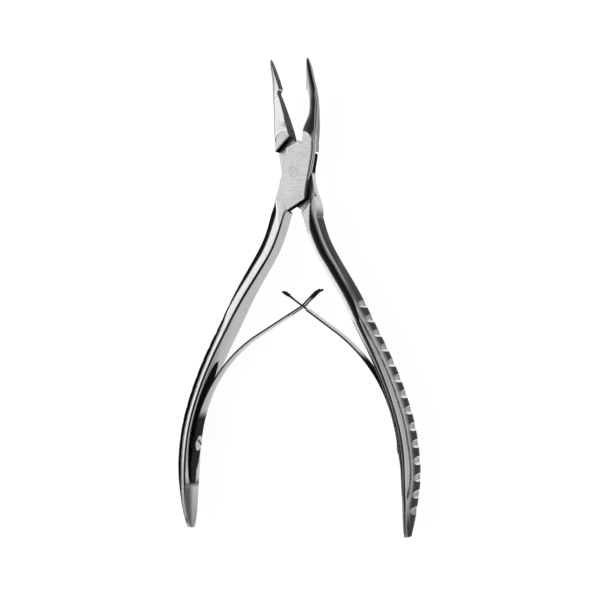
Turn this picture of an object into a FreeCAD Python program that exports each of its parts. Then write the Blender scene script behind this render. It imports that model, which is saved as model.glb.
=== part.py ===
import FreeCAD, Part
import math
import os
from FreeCAD import Rotation, Vector

# Bone rongeur, a plier-like bone cutter, in millimetres.
# The pivot axis is the Z axis, and z = 0 is the back face of the lap joint.
# The jaws point along +Y and curve forward, to +Z. The handles point along -Y.
# Each lever is drawn closed, in its own frame, and then turned about the pivot to rest half open.
# What is drawn is the front lever, with its jaw at +X and its handle at -X. The rear lever is
# its mirror image, with the other half of the joint cut away.

# Lap joint
joint_thickness = 6.4
lap_clearance = 0.04
half_opening = 9.5
edge_round = 0.25
rivet_diameter = 2.7
rivet_clearance = 0.04
shoulder_clearance = 0.75
shoulder_bevel = 0.34
upper_lap_corner = (-3.4, 6.63)
upper_lap_slope = 38.0
lower_lap_corner = (4.58, -7.0)
lower_lap_slope = 41.0
throat_y = 9.15
joint_right_side = [(4.15, 9.15), (4.5, 6.0), (4.5, 2.5)]
front_lap_side = [(-4.3, -10.0), (-3.6, -3.0), (-3.3, 2.0)]
rear_lap_side = [(-5.1, -10.0), (-4.95, -8.6), (-4.5, -6.2), (-4.3, -3.2), (-4.5, -0.8),
                 (-5.1, 1.4), (-5.8, 3.4)]
rear_corner_reach = 2.7
ground_face_end_y = -18.0
ground_face_sweep = 190.0

# Jaws
jaw_curve_start = 14.0
jaw_curve_radius = 27.0
front_jaw_relief = [(1.2, 8.8), (0.95, 11.0), (0.95, 12.8), (1.35, 14.8), (1.68, 17.6), (1.5, 19.8), (0.98, 22.0)]
front_relief_end = [(0.62, 22.9), (-0.1, 23.9)]
rear_jaw_relief = [(-0.45, 8.8), (-0.3, 11.0), (-0.02, 13.0), (0.2, 15.0), (0.5, 17.6), (0.75, 20.0), (0.98, 22.3)]
rear_relief_end = [(0.8, 23.6), (-0.1, 24.1)]
root_reach_inward = 0.5
face_end_centre = (1.2, 9.3)
face_end_radius = 2.66
jaw_tip_y = 32.0
jaw_tip_gap = 0.06
cup_length = 6.4
cup_width = 1.9
cup_depth = 0.8
cup_centre_y = 28.6

# Handles
handle_root_y = -13.5
handle_root_inner = 0.8
handle_thickness = 4.15
handle_root_thickness = 4.0
handle_inset_y = -11.0
handle_width = 11.0
handle_end_length = 16.0
handle_crown_fall = 2.75
handle_inner_round = 0.45
handle_curve = [(4.4, -22.0), (7.1, -29.0), (10.8, -38.0), (14.05, -48.0), (16.9, -57.0),
                (19.2, -67.0), (20.35, -76.0), (20.3, -84.0), (19.2, -92.5), (17.6, -99.5),
                (15.4, -107.0)]

# Finger grooves across the crown of each handle
groove_count = 14
groove_pitch = 4.6
first_groove_y = -40.8
groove_cutter_radius = 1.3
groove_depth = 0.85

# Channel in the inner face of each handle, which gives the bending leaf room
channel_floor_radius = 52.0
channel_round_radius = 8.0
channel_depth = 1.35
channel_middle_y = -74.7
channel_lean = 4.35

# Leaf springs
leaf_thickness = 0.5
leaf_foot_width = 5.8
leaf_blade_width = 4.4
leaf_end_width = 3.8
leaf_tip_width = 1.6
screw_point = (-17.58, -82.0)
foot_lean = -1.0
foot_below_screw = 11.0
foot_above_screw = 2.7
foot_bend_length = 12.0
fork_leaf_radius = 41.3
tongue_leaf_radius = 45.0
fork_straight = 15.55
tongue_straight = 12.33
leaf_crossing = (1.9, -38.1)
hinge_gap = 0.05
fork_slot_width = 1.4
fork_slot_length = 3.0
prong_rise = 13.5
prong_length = 5.2
prong_flare = 18.0
prong_flare_length = 1.3
tongue_width = 1.1
tongue_shoulder = 1.7
tongue_length = 7.2
tongue_head_width = 3.2
tongue_head_length = 1.8
small_bend_radius = 1.5

# Spring screws
screw_head_diameter = 4.4
screw_head_edge = 0.35
screw_dome_height = 0.55
screw_shank_diameter = 2.0
screw_hole_clearance = 0.05
screw_grip = 2.9
screw_boss_diameter = 5.0
screw_slot_width = 0.7
screw_slot_depth = 0.5
screw_slot_angle = 57.0

middle_z = joint_thickness / 2
Z = Vector(0, 0, 1)
CORNER = math.cos(math.pi / 4)
REACH = 200.0


def point(xy, z=0.0):
    return Vector(xy[0], xy[1], z)


def line(a, b):
    return Part.LineSegment(a, b).toShape()


def arc(a, middle, b):
    return Part.Arc(a, middle, b).toShape()


def spline(points):
    curve = Part.BSplineCurve()
    curve.interpolate(points)
    return curve


def polygon(points):
    return Part.makePolygon(points + [points[0]])


def prism(wire, direction):
    return Part.Face(wire).extrude(direction)


def turned(shape, degrees):
    copy = shape.copy()
    copy.rotate(Vector(0, 0, 0), Z, degrees)
    return copy


def mirrored(shape):
    return shape.mirror(Vector(0, 0, 0), Vector(1, 0, 0))


def blend(value, stops):
    """Straight-line value between (place, value) stops, in rising order of place."""
    if value <= stops[0][0]:
        return stops[0][1]
    for (a, low), (b, high) in zip(stops, stops[1:]):
        if value <= b:
            return low + (high - low) * (value - a) / (b - a)
    return stops[-1][1]


def bar_section(centre, out, up, thickness, width, fall, inner_round):
    """Closed outline of a bar: flat inner face, side lands, and an outer crown that falls to the lands."""
    half = width / 2
    inner = -thickness / 2
    outer = thickness / 2
    corner = min(edge_round, half / 3)
    soft = min(inner_round, half / 3)
    crown = outer - fall * ((half - corner) / half) ** 2
    land = max(outer - fall - corner, inner + soft + 0.02)

    def at(n, v):
        return centre + out * n + up * v

    def inner_corner(side):
        rise = soft * (1 - CORNER)
        return at(inner + rise, side * (half - rise))

    def outer_corner(side):
        n = (land + crown) / 2 + corner * 0.2
        return at(n, side * (half - corner * 0.3))

    edges = [line(at(inner, soft - half), at(inner, half - soft)),
             arc(at(inner, half - soft), inner_corner(1), at(inner + soft, half)),
             line(at(inner + soft, half), at(land, half)),
             arc(at(land, half), outer_corner(1), at(crown, half - corner)),
             arc(at(crown, half - corner), at(outer, 0), at(crown, corner - half)),
             arc(at(crown, corner - half), outer_corner(-1), at(land, -half)),
             line(at(land, -half), at(inner + soft, -half)),
             arc(at(inner + soft, -half), inner_corner(-1), at(inner, soft - half))]
    return Part.Wire(edges)


def joint_block(side, upper_corner):
    """Full-thickness middle of a lever, from the root of its handle to the throat between the jaws."""
    upper_run = math.tan(math.radians(upper_lap_slope))
    lower_run = math.tan(math.radians(lower_lap_slope))
    throat_x = upper_lap_corner[0] + (throat_y - upper_lap_corner[1]) / upper_run
    inner_x = -handle_root_inner
    outer_x = inner_x - handle_root_thickness
    lap_end_x = inner_x + 0.5
    lap_end_y = lower_lap_corner[1] - (lower_lap_corner[0] - lap_end_x) * lower_run
    throat = point((throat_x, throat_y))
    jaw_outer = point(joint_right_side[0])
    lap_end = point((lap_end_x, lap_end_y))
    handle_inner = point((inner_x, handle_root_y))
    handle_outer = point((outer_x, handle_root_y))
    right = spline([point(p) for p in joint_right_side] + [point(lower_lap_corner)])
    left = spline([handle_outer] + [point(p) for p in side] + [point(upper_corner)])
    edges = [line(point(upper_corner), throat),
             line(throat, jaw_outer),
             right.toShape(),
             line(point(lower_lap_corner), lap_end),
             line(lap_end, handle_inner),
             line(handle_inner, handle_outer),
             left.toShape()]
    block = prism(Part.Wire(edges), Z * joint_thickness)
    rims = [e for e in block.Edges if is_rim(e)]
    return block.makeFillet(edge_round, rims)


def is_rim(edge):
    """True for the edges of the joint's front and back faces, apart from those at jaw and handle."""
    box = edge.BoundBox
    return box.ZLength < 1e-6 and box.YLength > 1e-6


def ground_faces(side):
    """What grinding takes off one face: flat over the joint, then a long sweep out along the handle."""
    reach = REACH / 2
    run_out = handle_curve[2][1] * 1.3
    rise = (ground_face_end_y - run_out) ** 2 / (2 * ground_face_sweep)
    half = (ground_face_end_y + run_out) / 2
    mid_rise = (ground_face_end_y - half) ** 2 / (2 * ground_face_sweep)
    face = joint_thickness / 2

    def at(y, z):
        return Vector(-reach, y, middle_z + side * z)

    edges = [line(at(jaw_curve_start + 4, face), at(ground_face_end_y, face)),
             arc(at(ground_face_end_y, face), at(half, face + mid_rise), at(run_out, face + rise)),
             line(at(run_out, face + rise), at(run_out, face + handle_width)),
             line(at(run_out, face + handle_width), at(jaw_curve_start + 4, face + handle_width)),
             line(at(jaw_curve_start + 4, face + handle_width), at(jaw_curve_start + 4, face))]
    return prism(Part.Wire(edges), Vector(2 * reach, 0, 0))


def ground(shape):
    return shape.cut(ground_faces(1)).cut(ground_faces(-1))


def shoulder_side(corner, slope, side):
    """Long prism on the joint side of one shoulder, below middle_z, with its lip bevelled at z = 0."""
    angle = math.radians(slope)
    along = Vector(-math.cos(angle), math.sin(angle), 0)
    outward = Vector(math.sin(angle), math.cos(angle), 0) * side
    foot = Vector(-corner[0], corner[1], 0) + outward * shoulder_clearance
    floor = middle_z + lap_clearance / 2
    profile = [(-REACH, floor), (0, floor), (0, shoulder_bevel),
               (shoulder_bevel, 0), (shoulder_bevel, -1), (-REACH, -1)]
    points = [foot - along * REACH / 2 + outward * n + Z * z for n, z in profile]
    return prism(polygon(points), along * REACH)


def lap_pocket():
    """What the front lever leaves free for the rear lever's half of the joint."""
    upper = shoulder_side(upper_lap_corner, upper_lap_slope, 1)
    lower = shoulder_side(lower_lap_corner, lower_lap_slope, -1)
    return upper.common(lower)


def jaw_frame(y):
    """Middle point of the curved jaw at y, and the direction across its thickness there."""
    lean = max(0.0, y - jaw_curve_start) / jaw_curve_radius
    angle = math.asin(lean)
    z = middle_z + jaw_curve_radius * (1 - math.cos(angle))
    return Vector(0, y, z), Vector(0, -math.sin(angle), math.cos(angle))


def jaw_section(y, inner, outer, height, fall, inner_round):
    middle, up = jaw_frame(y)
    middle.x = (inner + outer) / 2
    return bar_section(middle, Vector(1, 0, 0), up, outer - inner, height, fall, inner_round)


def jaw(relief, relief_end):
    """Tapering shank that curves forward, relieved on its inner side, with a spoon-shaped cup at its end."""
    rim = jaw_tip_gap / 2
    root = -root_reach_inward
    sections = [jaw_section(throat_y - 1.6, root, 3.7, 7.2, 0.1, 0.3),
                jaw_section(throat_y + 0.15, root, 4.0, 7.0, 0.1, 0.3),
                jaw_section(11.0, root, 4.0, 6.8, 0.1, 0.3),
                jaw_section(12.8, root, 3.85, 6.5, 0.12, 0.3),
                jaw_section(15.2, rim, 3.65, 5.8, 0.15, 0.3),
                jaw_section(18.5, rim, 3.3, 4.8, 0.22, 0.3),
                jaw_section(22.5, rim, 2.9, 3.5, 0.35, 0.3),
                jaw_section(25.2, rim, 2.35, 3.0, 0.55, 0.25),
                jaw_section(27.5, rim, 1.75, 2.8, 0.6, 0.25),
                jaw_section(29.8, rim, 1.25, 2.4, 0.5, 0.25),
                jaw_section(jaw_tip_y - 0.8, rim, 0.8, 1.7, 0.35, 0.2),
                jaw_section(jaw_tip_y, rim, 0.45, 0.9, 0.2, 0.1)]
    blank = ground_jaw(Part.makeLoft(sections, True, False))
    return blank.cut(jaw_gap(relief, relief_end)).cut(cup_hollow(rim))


def jaw_gap(relief, relief_end):
    """Space between the two jaws, from the throat to the cup: it keeps the jaws apart when they close."""
    low = middle_z - joint_thickness * 4
    away = -joint_thickness
    start, end = relief[0], relief_end[-1]
    edges = [spline([point(p, low) for p in relief]).toShape(),
             arc(point(relief[-1], low), point(relief_end[0], low), point(end, low)),
             line(point(end, low), point((away, end[1]), low)),
             line(point((away, end[1]), low), point((away, start[1]), low)),
             line(point((away, start[1]), low), point(start, low))]
    return prism(Part.Wire(edges), Z * joint_thickness * 10)


def ground_jaw(shank):
    """The joint's flat faces run out on the jaw in an arc."""
    centre = point(face_end_centre, joint_thickness)
    front = Part.makeBox(REACH, face_end_centre[1], REACH, Vector(-REACH / 2, 0, joint_thickness))
    front = front.fuse(Part.makeCylinder(face_end_radius, REACH, centre, Z))
    back = front.mirror(Vector(0, 0, middle_z), Z)
    return shank.cut(front).cut(back)


def cup_hollow(rim):
    ball = Part.makeSphere(1.0)
    stretch = FreeCAD.Matrix()
    stretch.scale(cup_depth, cup_length / 2, cup_width / 2)
    hollow = ball.transformGeometry(stretch)
    middle, up = jaw_frame(cup_centre_y)
    lean = math.degrees(math.asin(-up.y))
    hollow.rotate(Vector(0, 0, 0), Vector(1, 0, 0), lean)
    hollow.translate(Vector(rim, middle.y, middle.z))
    return hollow


def handle_spine():
    """Curve along the middle of the handle's thickness, from the joint to the end."""
    root_x = handle_root_inner + handle_root_thickness / 2
    start = [(root_x - 0.25, handle_inset_y), (root_x, handle_root_y)]
    return spline([Vector(-x, y, middle_z) for x, y in start + handle_curve])


def spine_at(spine, y):
    """Parameter of the spine where it passes y."""
    low, high = spine.FirstParameter, spine.LastParameter
    for _ in range(50):
        guess = (low + high) / 2
        if spine.value(guess).y > y:
            low = guess
        else:
            high = guess
    return (low + high) / 2


def handle_end_y():
    return handle_curve[-1][1]


def end_share(y):
    """1 along the handle, falling to a small share over its rounded end, as an ellipse does."""
    past = (handle_end_y() + handle_end_length - y) / handle_end_length
    return 1.0 if past <= 0 else math.sqrt(max(0.0, 1 - past * past))


def handle_width_at(y):
    stops = [(-72.0, handle_width), (-52.0, handle_width * 0.96), (-38.0, handle_width * 0.9),
             (-24.0, handle_width * 0.8), (handle_inset_y, joint_thickness + 0.9)]
    return max(2.2, blend(y, stops) * end_share(y))


def handle_thickness_at(y):
    stops = [(handle_end_y(), 1.6), (handle_end_y() + handle_end_length, handle_thickness * 0.96),
             (-84.0, handle_thickness), (-30.0, handle_thickness),
             (handle_root_y, handle_root_thickness - 0.1), (handle_inset_y, handle_root_thickness - 0.6)]
    return blend(y, stops)


def handle_fall_at(y):
    """How far the crown falls to the side lands: nothing at the joint, so that its faces stay flat."""
    stops = [(handle_end_y(), 0.6), (handle_end_y() + handle_end_length, handle_crown_fall),
             (-60.0, handle_crown_fall), (-45.0, handle_crown_fall * 0.8), (-24.0, 0.6), (handle_root_y, 0.1)]
    return blend(y, stops)


def handle_section(spine, y):
    middle = spine.value(spine_at(spine, y))
    slope = spine.tangent(spine_at(spine, y))[0]
    across = handle_thickness_at(y) / abs(slope.y)
    width = handle_width_at(y)
    soft = blend(y, [(-24.0, handle_inner_round), (handle_root_y, edge_round)])
    return bar_section(middle, Vector(-1, 0, 0), Z, across, width, handle_fall_at(y), soft)


def handle():
    """One bowed handle: lofted bar, crown grooves, and the channel and boss that carry the leaf."""
    spine = handle_spine()
    end = handle_end_y()
    places = [handle_inset_y, handle_root_y, -17.5, -22.0, -27.0, -33.0, -40.0, -48.0, -57.0, -66.0]
    places += [-75.0, -84.0, end + handle_end_length]
    places += [end + handle_end_length * share for share in (0.72, 0.46, 0.25, 0.11, 0.03)]
    bar = ground(Part.makeLoft([handle_section(spine, y) for y in places], True, False))
    bar = bar.cut(groove_cutters(spine))
    return bar.cut(leaf_channel(spine))


def groove_cutters(spine):
    start = spine_at(spine, first_groove_y)
    run = spine.length(spine.FirstParameter, start)
    cutters = []
    for index in range(groove_count):
        place = spine.parameterAtDistance(run + index * groove_pitch, spine.FirstParameter)
        forward = spine.tangent(place)[0]
        out = Vector(forward.y, -forward.x, 0)
        crown = spine.value(place) + out * handle_thickness_at(spine.value(place).y) / 2
        axis = crown + out * (groove_cutter_radius - groove_depth)
        axis.z = middle_z - handle_width
        cutters.append(Part.makeCylinder(groove_cutter_radius, 2 * handle_width, axis, Z))
    return cutters


def leaf_channel(spine):
    """Ring-shaped cutter whose lowest line is the channel's floor: it runs out at both ends."""
    place = spine_at(spine, channel_middle_y)
    lean = math.radians(channel_lean)
    out = Vector(-math.cos(lean), math.sin(lean), 0)
    face = spine.value(place) - out * handle_thickness / 2
    centre = face + out * (channel_depth - channel_floor_radius)
    return Part.makeTorus(channel_floor_radius - channel_round_radius, channel_round_radius, centre, Z)


def foot_directions():
    """Along the leaf's foot, away from the handle's end, and across it, towards the other handle."""
    lean = math.radians(foot_lean)
    return Vector(math.sin(lean), math.cos(lean), 0), Vector(math.cos(lean), -math.sin(lean), 0)


def screw_boss():
    """Seat under the screw: it rises from the channel to the underside of the foot."""
    inward = foot_directions()[1]
    top = point(screw_point, middle_z) - inward * leaf_thickness / 2
    return Part.makeCylinder(screw_boss_diameter / 2, screw_grip * 0.8, top, inward * -1)


def screw_bore(clearance=0.0):
    """Round bar along the screw's axis, from inside the handle to above the foot."""
    inward = foot_directions()[1]
    deep = point(screw_point, middle_z) - inward * (leaf_thickness / 2 + screw_grip)
    return Part.makeCylinder(screw_shank_diameter / 2 + clearance, screw_grip + 2 * leaf_thickness, deep, inward)


class Strip:
    """Flat spring strip drawn edge-on: a run of straight and bent lengths, walked from a start."""

    def __init__(self, start, heading, thickness):
        self.place = start
        self.heading = heading
        self.half = thickness / 2
        self.left = []
        self.right = []
        self.start_edge = self.ends()
        self.start_round = None

    def out(self):
        return Vector(-self.heading.y, self.heading.x, 0)

    def ends(self):
        return self.place + self.out() * self.half, self.place - self.out() * self.half

    def straight(self, length):
        before = self.ends()
        self.place = self.place + self.heading * length
        after = self.ends()
        self.left.append(line(before[0], after[0]))
        self.right.append(line(before[1], after[1]))
        return self

    def bend(self, radius, degrees):
        """Bend to the right for positive degrees, to the left for negative."""
        before = self.ends()
        side = -1 if degrees > 0 else 1
        centre = self.place + self.out() * side * radius
        middle = [self.swing(p, centre, degrees / 2) for p in before]
        self.place = self.swing(self.place, centre, degrees)
        self.heading = Rotation(Z, -degrees).multVec(self.heading)
        after = self.ends()
        self.left.append(arc(before[0], middle[0], after[0]))
        self.right.append(arc(before[1], middle[1], after[1]))
        return self

    @staticmethod
    def swing(place, centre, degrees):
        return centre + Rotation(Z, -degrees).multVec(place - centre)

    def round_start(self):
        """Half-round start, centred on the start point."""
        self.start_round = (self.start_edge[0] + self.start_edge[1]) / 2 - self.first_heading() * self.half
        return self

    def first_heading(self):
        across = self.start_edge[0] - self.start_edge[1]
        across.normalize()
        return Vector(across.y, -across.x, 0)

    def solid(self, width):
        if self.start_round is None:
            start = line(self.start_edge[1], self.start_edge[0])
        else:
            start = arc(self.start_edge[1], self.start_round, self.start_edge[0])
        end = line(*self.ends())
        back = [edge.copy() for edge in reversed(self.right)]
        wire = Part.Wire(Part.__sortEdges__([start] + self.left + [end] + back))
        body = prism(wire, Z * width)
        body.translate(Z * (middle_z - width / 2))
        return body


def width_mask(stops):
    """Prism along X whose outline in Y and Z is the leaf's width, from (y, width) stops."""
    upper = [Vector(-REACH / 2, y, middle_z + width / 2) for y, width in stops]
    lower = [Vector(-REACH / 2, y, middle_z - width / 2) for y, width in reversed(stops)]
    return prism(polygon(upper + lower), Vector(REACH, 0, 0))


def foot_end():
    """Point and heading of the leaf where its straight foot ends and its bend begins."""
    forward = foot_directions()[0]
    return point(screw_point) + forward * foot_above_screw, forward


def leaf_foot(radius):
    """Part of the leaf that the screw holds: pointed end, flat seat and the first of the bend."""
    end, forward = foot_end()
    start = end - forward * (foot_above_screw + foot_below_screw)
    turn = math.degrees(foot_bend_length / radius)
    strip = Strip(start, forward, leaf_thickness)
    strip.straight(foot_above_screw + foot_below_screw)
    strip.bend(radius, turn - math.degrees((leaf_thickness / 2 + hinge_gap) / radius))
    stops = [(start.y, leaf_tip_width), (start.y + 5.0, leaf_foot_width),
             (end.y + 5.0, leaf_foot_width), (end.y + foot_bend_length + 5.0, leaf_blade_width)]
    return strip.solid(leaf_foot_width).common(width_mask(stops))


def hinge_point(radius):
    """Line at which the leaf's blade swings, and the blade's heading there."""
    end, forward = foot_end()
    strip = Strip(end, forward, leaf_thickness)
    strip.bend(radius, math.degrees(foot_bend_length / radius))
    return strip.place, strip.heading


def blade_run(place, heading, crossing, straight):
    """Radius and bend in degrees that leave the blade straight over its last length to the crossing."""
    inward = Vector(heading.y, -heading.x, 0)
    gap = crossing - place
    radius = (gap.dot(gap) - straight * straight) / (2 * gap.dot(inward))
    away = crossing - place - inward * radius
    start_angle = math.atan2(-inward.y, -inward.x)
    crossing_angle = math.atan2(away.y, away.x)
    turn = start_angle - crossing_angle - math.acos(radius / away.Length)
    return radius, math.degrees(turn)


def crossing_in(degrees):
    """Leaf crossing at rest, seen in the frame of a closed lever that was turned by degrees."""
    return Rotation(Z, -degrees).multVec(point(leaf_crossing))


def fork_blade():
    crossing = crossing_in(-half_opening)
    place, heading = hinge_point(fork_leaf_radius)
    radius, turn = blade_run(place, heading, crossing, fork_straight)
    strip = Strip(place, heading, leaf_thickness).round_start()
    strip.bend(radius, turn)
    strip.straight(fork_straight)
    strip.bend(small_bend_radius, -prong_rise)
    strip.straight(prong_length)
    strip.bend(small_bend_radius, prong_flare)
    strip.straight(prong_flare_length)
    slot_y = crossing.y - fork_slot_length
    stops = [(place.y - 1.0, leaf_blade_width + 0.1), (slot_y, leaf_end_width),
             (strip.place.y + 1.0, leaf_end_width)]
    blade = strip.solid(leaf_foot_width).common(width_mask(stops))
    corner = Vector(-REACH / 2, slot_y, middle_z - fork_slot_width / 2)
    return blade.cut(Part.makeBox(REACH, REACH, fork_slot_width, corner))


def tongue_blade():
    """Drawn as a left-hand leaf, like everything on the front lever, and mirrored afterwards."""
    crossing = crossing_in(half_opening)
    crossing.x = -crossing.x
    place, heading = hinge_point(tongue_leaf_radius)
    radius, turn = blade_run(place, heading, crossing, tongue_straight)
    strip = Strip(place, heading, leaf_thickness).round_start()
    strip.bend(radius, turn)
    strip.straight(tongue_straight + tongue_length)
    tip = strip.place
    rise = strip.heading.y
    shoulder_y = crossing.y - tongue_shoulder * rise
    head_y = tip.y - tongue_head_length * rise
    stops = [(place.y - 1.0, leaf_blade_width + 0.1), (shoulder_y - 3.0, leaf_end_width),
             (shoulder_y, leaf_end_width), (shoulder_y + 0.2, tongue_width),
             (head_y - 0.2, tongue_width), (head_y, tongue_head_width), (tip.y + 1.0, tongue_head_width)]
    return strip.solid(leaf_foot_width).common(width_mask(stops))


def spring_screw():
    """Slotted screw with a low domed head on the foot of the leaf."""
    forward, inward = foot_directions()
    seat = point(screw_point, middle_z) + inward * leaf_thickness / 2
    radius = screw_head_diameter / 2
    edge = screw_head_edge
    top = edge + screw_dome_height
    shoulder = radius * 0.6
    dome = edge + screw_dome_height * 0.72
    profile = Part.Wire([line(Vector(0, 0, 0), Vector(radius, 0, 0)),
                         line(Vector(radius, 0, 0), Vector(radius, 0, edge)),
                         arc(Vector(radius, 0, edge), Vector(shoulder, 0, dome), Vector(0, 0, top)),
                         line(Vector(0, 0, top), Vector(0, 0, 0))])
    head = Part.Face(profile).revolve(Vector(0, 0, 0), Z, 360)
    slot = Part.makeBox(2 * screw_head_diameter, screw_slot_width, REACH,
                        Vector(-screw_head_diameter, -screw_slot_width / 2, top - screw_slot_depth))
    slot.rotate(Vector(0, 0, 0), Z, screw_slot_angle)
    head = head.cut(slot)
    shank = Part.makeCylinder(screw_shank_diameter / 2, leaf_thickness + screw_grip, Vector(0, 0, 0), Z * -1)
    screw = head.fuse(shank)
    screw.Placement = FreeCAD.Placement(seat, Rotation(forward, Z.cross(forward), inward))
    return screw


def lever_blank(leaf_radius, side, corner, relief, relief_end):
    """Joint, jaw and handle in one forging, with the leaf's seat and the pocket for the other lever."""
    arm = handle().fuse(screw_boss()).cut(leaf_foot(leaf_radius)).cut(screw_bore())
    return joint_block(side, corner).fuse(jaw(relief, relief_end)).fuse(arm)


def rivet():
    return Part.makeCylinder(rivet_diameter / 2, joint_thickness)


def front_lever():
    bore = Part.makeCylinder(rivet_diameter / 2 + rivet_clearance, joint_thickness)
    blank = lever_blank(fork_leaf_radius, front_lap_side, upper_lap_corner, front_jaw_relief, front_relief_end)
    return blank.cut(lap_pocket()).cut(bore)


def rear_lever():
    pocket = lap_pocket().mirror(Vector(0, 0, middle_z), Z)
    rise = math.tan(math.radians(upper_lap_slope))
    corner = (upper_lap_corner[0] - rear_corner_reach, upper_lap_corner[1] - rear_corner_reach * rise)
    blank = lever_blank(tongue_leaf_radius, rear_lap_side, corner, rear_jaw_relief, rear_relief_end)
    return mirrored(blank.cut(pocket).cut(rivet()))


def drilled_foot(radius):
    return leaf_foot(radius).cut(screw_bore(screw_hole_clearance))


def at_rest(front, shape):
    return turned(shape, -half_opening if front else half_opening)


def make_nodes():
    return {"front_lever": at_rest(True, front_lever()),
            "rear_lever": at_rest(False, rear_lever()),
            "pivot_rivet": rivet(),
            "left_spring_foot": at_rest(True, drilled_foot(fork_leaf_radius)),
            "left_spring_blade": at_rest(True, fork_blade()),
            "left_spring_screw": at_rest(True, spring_screw()),
            "right_spring_foot": at_rest(False, mirrored(drilled_foot(tongue_leaf_radius))),
            "right_spring_blade": at_rest(False, mirrored(tongue_blade())),
            "right_spring_screw": at_rest(False, mirrored(spring_screw()))}


def export_nodes():
    os.makedirs("parts", exist_ok=True)
    for name, shape in make_nodes().items():
        body = shape.Solids[0]
        box = body.BoundBox
        corners = [round(v, 2) for v in (box.XMin, box.YMin, box.ZMin, box.XMax, box.YMax, box.ZMax)]
        print(name, "solids", len(shape.Solids), "valid", body.isValid(), "from and to", corners)
        body.exportStep("parts/" + name + ".step")
    for side, radius in ((-1, fork_leaf_radius), (1, tongue_leaf_radius)):
        hinge = hinge_point(radius)[0]
        hinge.x = -side * hinge.x
        hinge = Rotation(Z, side * half_opening).multVec(hinge)
        print("leaf blade swings at", round(hinge.x, 4), round(hinge.y, 4))


export_nodes()
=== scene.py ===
# %% [markdown]
# # A bone rongeur in polished and satin steel
#
# A bone rongeur is a plier-like cutter. Two forged levers cross in a lap joint on one rivet. Above the
# joint they end in slim jaws with small cups, below it in bowed handles with finger grooves. Two leaf
# springs, screwed to the handles, cross in the middle and push the handles apart.
#
# The solid shapes come from the imported part, in metres, with the pivot on the Z axis. This script
# gives them their finish, replaces the two-piece springs by one bent leaf each, and sets a studio.

# %% Load the part
import math

import bpy
import bmesh
from mathutils import Matrix, Vector


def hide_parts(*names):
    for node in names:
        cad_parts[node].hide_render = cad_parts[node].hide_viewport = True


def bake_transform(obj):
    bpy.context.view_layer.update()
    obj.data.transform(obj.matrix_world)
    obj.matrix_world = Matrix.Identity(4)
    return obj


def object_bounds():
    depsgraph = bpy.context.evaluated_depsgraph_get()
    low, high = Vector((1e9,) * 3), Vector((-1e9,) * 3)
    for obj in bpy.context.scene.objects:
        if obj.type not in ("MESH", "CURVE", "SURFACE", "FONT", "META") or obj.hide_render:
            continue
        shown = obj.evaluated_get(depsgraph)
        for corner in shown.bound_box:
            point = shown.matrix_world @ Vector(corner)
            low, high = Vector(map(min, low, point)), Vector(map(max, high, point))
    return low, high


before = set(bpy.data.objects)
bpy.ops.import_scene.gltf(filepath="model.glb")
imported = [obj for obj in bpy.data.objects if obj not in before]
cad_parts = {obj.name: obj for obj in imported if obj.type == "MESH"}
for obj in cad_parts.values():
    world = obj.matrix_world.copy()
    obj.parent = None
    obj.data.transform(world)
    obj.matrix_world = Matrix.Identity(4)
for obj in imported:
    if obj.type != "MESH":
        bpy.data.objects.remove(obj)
cad_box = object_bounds()
mm = 0.001
print("part, low corner:", [round(v / mm, 1) for v in cad_box[0]])
print("part, high corner:", [round(v / mm, 1) for v in cad_box[1]])

# %% [markdown]
# ## The camera
#
# The photograph looks down on the instrument, which lies flat, with the jaws at the top. The
# right-hand walls of the parts show, so the camera stands a little to the right of the pivot axis.
# A long lens keeps the handles nearly parallel to the picture. The camera aims at a point between
# the handles and keeps the jaw direction, +Y, upright.

# %% Camera
picture_size = 600
focal_pixels = 1680.0
sensor_width = 36.0
camera_turn = math.radians(19.0)
camera_distance = 480.0 * mm
joint_middle = 3.2 * mm
aim = Vector((0.9 * mm, -36.3 * mm, joint_middle))


def make_camera():
    data = bpy.data.cameras.new("studio_camera")
    data.sensor_width = sensor_width
    data.lens = focal_pixels * sensor_width / picture_size
    camera = bpy.data.objects.new("studio_camera", data)
    bpy.context.scene.collection.objects.link(camera)
    sight = Vector((math.sin(camera_turn), 0.0, math.cos(camera_turn)))
    right = Vector((math.cos(camera_turn), 0.0, -math.sin(camera_turn)))
    up = sight.cross(right)
    turn = Matrix((right, up, sight)).transposed().to_4x4()
    camera.matrix_world = Matrix.Translation(aim + sight * camera_distance) @ turn
    bpy.context.scene.camera = camera
    return camera


camera = make_camera()
print("lens, mm:", round(camera.data.lens, 1))

# %% [markdown]
# ## Node tools
#
# A studio and a finish are both trees of nodes. Wired by hand, each node takes four or five lines that
# hide what the tree does. These helpers make a node, or one step of arithmetic, in a single line. A
# value given to them may be a number or the output of another node.

# %% Node tools
def link(tree, a, b):
    tree.links.new(a, b)


def plug(tree, socket, value):
    """Links a socket, or sets its value."""
    if isinstance(value, bpy.types.NodeSocket):
        link(tree, value, socket)
    else:
        socket.default_value = value


def node(tree, kind, settings=(), **inputs):
    made = tree.nodes.new("ShaderNode" + kind)
    for key, value in dict(settings).items():
        setattr(made, key, value)
    for key, value in inputs.items():
        plug(tree, made.inputs[key.replace("_", " ")], value)
    return made


def calc(tree, operation, *values, kind="Math"):
    """One step of arithmetic, on vectors if the kind is VectorMath."""
    made = node(tree, kind, {"operation": operation})
    for socket, value in zip(made.inputs, values):
        plug(tree, socket, value)
    return made.outputs[0]


def mapped(tree, value, low, high, to_low=0.0, to_high=1.0, settings=()):
    """Straight step from to_low at low to to_high at high, and level beyond both."""
    return node(tree, "MapRange", settings, Value=value, From_Min=low, From_Max=high,
                To_Min=to_low, To_Max=to_high).outputs[0]


print("node tools ready")

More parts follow.
